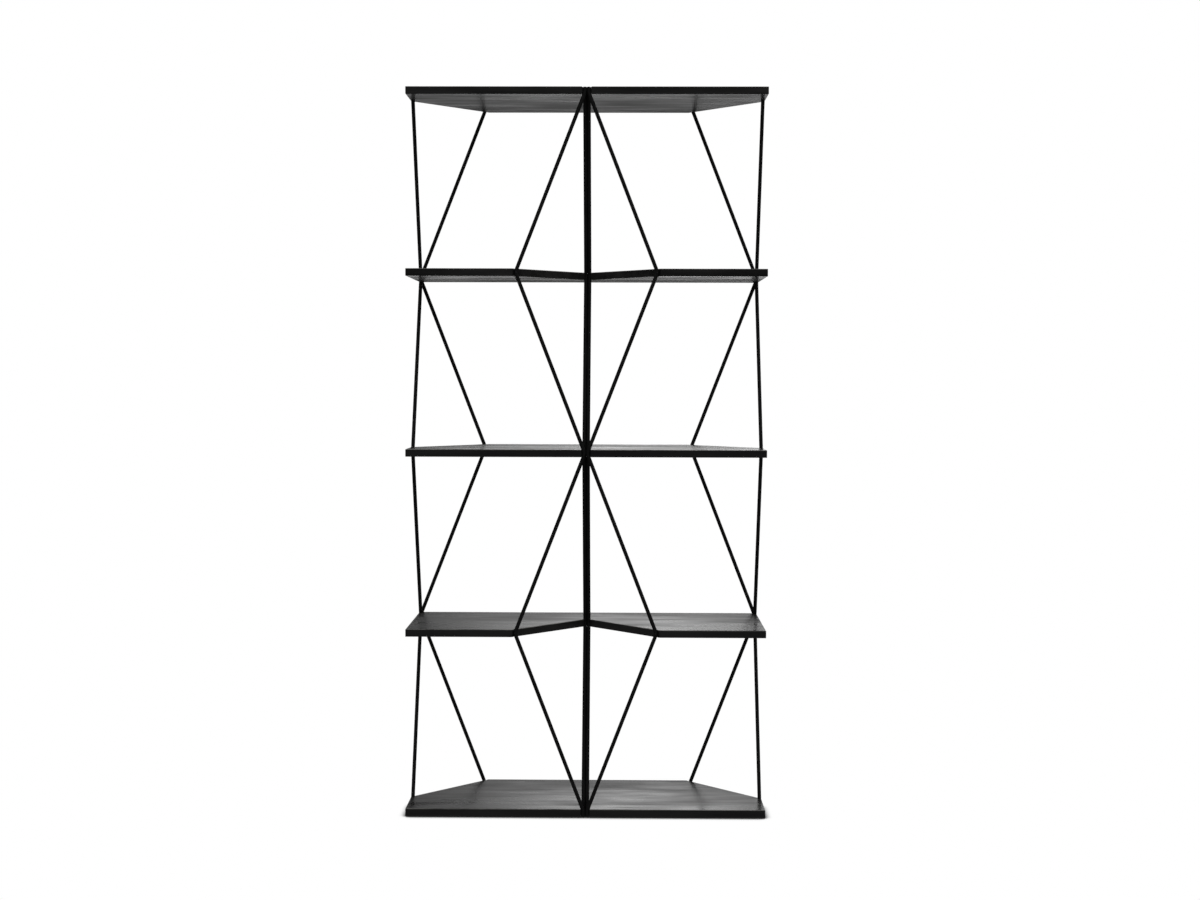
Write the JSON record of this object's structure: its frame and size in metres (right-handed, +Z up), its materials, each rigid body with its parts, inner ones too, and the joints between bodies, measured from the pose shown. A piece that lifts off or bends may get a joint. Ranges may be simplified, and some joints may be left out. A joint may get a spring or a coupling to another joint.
{
  "type": "zigzag bookcase",
  "caption": "Open bookcase of mirrored modules: cut-corner shelf boards, turned half a turn at each level, carried by slim rods that zigzag upwards.",
  "frame": {"origin": "on the floor, in the middle of the width and of the depth", "axes": "+X to the right as seen from the front, +Y to the back, +Z up"},
  "size_m": [0.9, 0.3, 1.821],
  "materials": {
    "black_stained_wood": "black stain under a satin lacquer",
    "black_powder_coat": "black powder coat on steel rod",
    "black_screw_steel": "blackened steel",
    "felt": "dark felt",
    "dowel_wood": "plain beech"
  },
  "bodies": {
    "root": {"left_shelf_1": "black_stained_wood", "left_shelf_2": "black_stained_wood", "left_shelf_3": "black_stained_wood", "left_shelf_4": "black_stained_wood", "left_shelf_5": "black_stained_wood", "right_shelf_1": "black_stained_wood", "right_shelf_2": "black_stained_wood", "right_shelf_3": "black_stained_wood", "right_shelf_4": "black_stained_wood", "right_shelf_5": "black_stained_wood", "left_front_rod": "black_powder_coat", "left_inner_rod": "black_powder_coat", "left_back_rod": "black_powder_coat", "left_side_rod": "black_powder_coat", "right_front_rod": "black_powder_coat", "right_inner_rod": "black_powder_coat", "right_back_rod": "black_powder_coat", "right_side_rod": "black_powder_coat", "left_front_welds": "black_powder_coat", "left_back_welds": "black_powder_coat", "right_front_welds": "black_powder_coat", "right_back_welds": "black_powder_coat", "left_front_rod_screws": "black_screw_steel", "left_inner_rod_screws": "black_screw_steel", "left_back_rod_screws": "black_screw_steel", "left_side_rod_screws": "black_screw_steel", "right_front_rod_screws": "black_screw_steel", "right_inner_rod_screws": "black_screw_steel", "right_back_rod_screws": "black_screw_steel", "right_side_rod_screws": "black_screw_steel", "left_floor_pads": "felt", "right_floor_pads": "felt", "joining_dowels": "dowel_wood"}
  },
  "joints": []
}
